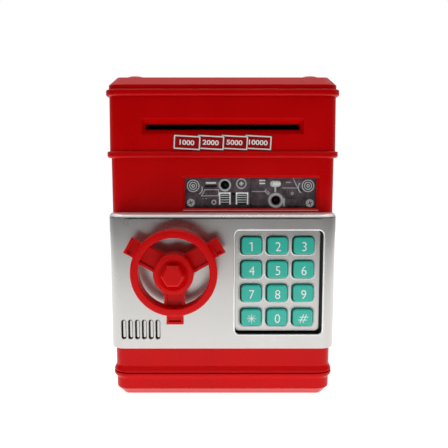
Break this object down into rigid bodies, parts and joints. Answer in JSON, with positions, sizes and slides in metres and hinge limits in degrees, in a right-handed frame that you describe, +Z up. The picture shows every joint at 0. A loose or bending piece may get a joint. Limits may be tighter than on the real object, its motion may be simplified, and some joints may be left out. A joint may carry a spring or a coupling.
{
  "type": "toy savings bank",
  "caption": "Toy cash-machine money box: red casing with a roller-fed bill slot, a coin slot and a silver door with keypad, handwheel and solenoid lock.",
  "frame": {"origin": "on the surface the bank stands on, under the centre of the bounding box", "axes": "+Z up, -Y towards the user (door side), +X to the right as the user sees it"},
  "size_m": [0.1352, 0.1292, 0.1912],
  "materials": {
    "red_plastic": "glossy red moulded plastic",
    "silver_plastic": "satin silver paint on plastic",
    "teal_plastic": "smooth teal keys with white digits",
    "black_plastic": "fine matt",
    "dark_panel": "dark printed relief with chrome details",
    "clear_plastic": "clear polished",
    "steel": "bright zinc plate",
    "roller_rubber": "matt rubber",
    "grey_rubber": "moulded silicone",
    "nylon": "natural nylon",
    "circuit_board": "green solder mask",
    "battery_wrap": "printed film sleeve",
    "green_lens": "clear green epoxy",
    "red_lens": "clear red epoxy"
  },
  "bodies": {
    "housing": {"base_tray": "red_plastic", "body_shell": "red_plastic", "head_shell": "red_plastic", "roof_cap": "red_plastic", "window_lens": "clear_plastic", "window_panel": "dark_panel", "main_board": "circuit_board", "green_led": "green_lens", "red_led": "red_lens", "speaker": "black_plastic", "battery_cover": "red_plastic", "battery_1": "battery_wrap", "battery_2": "battery_wrap", "battery_3": "battery_wrap", "battery_cover_screw": "steel", "case_screw_front_left": "steel", "case_screw_front_right": "steel", "case_screw_rear_left": "steel", "case_screw_rear_right": "steel", "feeder_frame": "black_plastic", "bill_guide_upper": "black_plastic", "feed_motor": "steel"},
    "door": {"door_shell": "silver_plastic", "door_back_cover": "black_plastic", "keypad_mat": "grey_rubber", "keypad_board": "circuit_board", "lock_solenoid": "steel", "hinge_pin_lower": "steel", "hinge_pin_upper": "steel", "door_screw_1": "steel", "door_screw_2": "steel", "door_screw_3": "steel", "door_screw_4": "steel"},
    "wheel": {"handwheel": "red_plastic", "hub_cap": "red_plastic", "wheel_shaft": "steel", "latch_arm": "steel"},
    "plunger": {"lock_plunger": "steel"},
    "feed_rollers": {"feed_shaft": "steel", "feed_roller_left": "roller_rubber", "feed_roller_right": "roller_rubber", "feed_gear": "nylon"},
    "pinch_rollers": {"pinch_shaft": "steel", "pinch_roller_left": "roller_rubber", "pinch_roller_right": "roller_rubber"},
    "pinion": {"motor_pinion": "nylon"},
    "button_1": {"key_1": "teal_plastic"},
    "button_2": {"key_2": "teal_plastic"},
    "button_3": {"key_3": "teal_plastic"},
    "button_4": {"key_4": "teal_plastic"},
    "button_5": {"key_5": "teal_plastic"},
    "button_6": {"key_6": "teal_plastic"},
    "button_7": {"key_7": "teal_plastic"},
    "button_8": {"key_8": "teal_plastic"},
    "button_9": {"key_9": "teal_plastic"},
    "button_star": {"key_star": "teal_plastic"},
    "button_0": {"key_0": "teal_plastic"},
    "button_hash": {"key_hash": "teal_plastic"}
  },
  "joints": [
    {"name": "door_hinge", "type": "hinge", "parent": "housing", "child": "door", "pos_m": [0.0628, -0.0304, 0.0735], "axis": [0, 0, 1], "range_deg": [0, 95]},
    {"name": "wheel_turn", "type": "hinge", "parent": "door", "child": "wheel", "pos_m": [-0.0265, -0.0392, 0.0816], "axis": [0, 1, 0], "range_deg": [0, 90]},
    {"name": "plunger_slide", "type": "slide", "parent": "door", "child": "plunger", "axis": [-1, 0, 0], "range_m": [0, 0.004], "stiffness_N_per_m": 60, "springref_m": -0.002},
    {"name": "feed_roller_spin", "type": "hinge", "parent": "housing", "child": "feed_rollers", "pos_m": [0, -0.0112, 0.1557], "axis": [1, 0, 0], "continuous": true},
    {"name": "pinch_roller_spin", "type": "hinge", "parent": "housing", "child": "pinch_rollers", "pos_m": [0, -0.0112, 0.1664], "axis": [1, 0, 0], "continuous": true},
    {"name": "pinion_spin", "type": "hinge", "parent": "housing", "child": "pinion", "pos_m": [0.052, -0.0112, 0.1426], "axis": [1, 0, 0], "continuous": true},
    {"name": "key_1_press", "type": "slide", "parent": "door", "child": "button_1", "axis": [0, 1, 0], "range_m": [0, 0.0009], "stiffness_N_per_m": 400, "springref_m": -0.0008},
    {"name": "key_2_press", "type": "slide", "parent": "door", "child": "button_2", "axis": [0, 1, 0], "range_m": [0, 0.0009], "stiffness_N_per_m": 400, "springref_m": -0.0008},
    {"name": "key_3_press", "type": "slide", "parent": "door", "child": "button_3", "axis": [0, 1, 0], "range_m": [0, 0.0009], "stiffness_N_per_m": 400, "springref_m": -0.0008},
    {"name": "key_4_press", "type": "slide", "parent": "door", "child": "button_4", "axis": [0, 1, 0], "range_m": [0, 0.0009], "stiffness_N_per_m": 400, "springref_m": -0.0008},
    {"name": "key_5_press", "type": "slide", "parent": "door", "child": "button_5", "axis": [0, 1, 0], "range_m": [0, 0.0009], "stiffness_N_per_m": 400, "springref_m": -0.0008},
    {"name": "key_6_press", "type": "slide", "parent": "door", "child": "button_6", "axis": [0, 1, 0], "range_m": [0, 0.0009], "stiffness_N_per_m": 400, "springref_m": -0.0008},
    {"name": "key_7_press", "type": "slide", "parent": "door", "child": "button_7", "axis": [0, 1, 0], "range_m": [0, 0.0009], "stiffness_N_per_m": 400, "springref_m": -0.0008},
    {"name": "key_8_press", "type": "slide", "parent": "door", "child": "button_8", "axis": [0, 1, 0], "range_m": [0, 0.0009], "stiffness_N_per_m": 400, "springref_m": -0.0008},
    {"name": "key_9_press", "type": "slide", "parent": "door", "child": "button_9", "axis": [0, 1, 0], "range_m": [0, 0.0009], "stiffness_N_per_m": 400, "springref_m": -0.0008},
    {"name": "key_star_press", "type": "slide", "parent": "door", "child": "button_star", "axis": [0, 1, 0], "range_m": [0, 0.0009], "stiffness_N_per_m": 400, "springref_m": -0.0008},
    {"name": "key_0_press", "type": "slide", "parent": "door", "child": "button_0", "axis": [0, 1, 0], "range_m": [0, 0.0009], "stiffness_N_per_m": 400, "springref_m": -0.0008},
    {"name": "key_hash_press", "type": "slide", "parent": "door", "child": "button_hash", "axis": [0, 1, 0], "range_m": [0, 0.0009], "stiffness_N_per_m": 400, "springref_m": -0.0008}
  ],
  "couplings": [
    {"joint": "pinch_roller_spin", "follows": "feed_roller_spin", "ratio": -1.1702},
    {"joint": "pinion_spin", "follows": "feed_roller_spin", "ratio": -2.4}
  ]
}
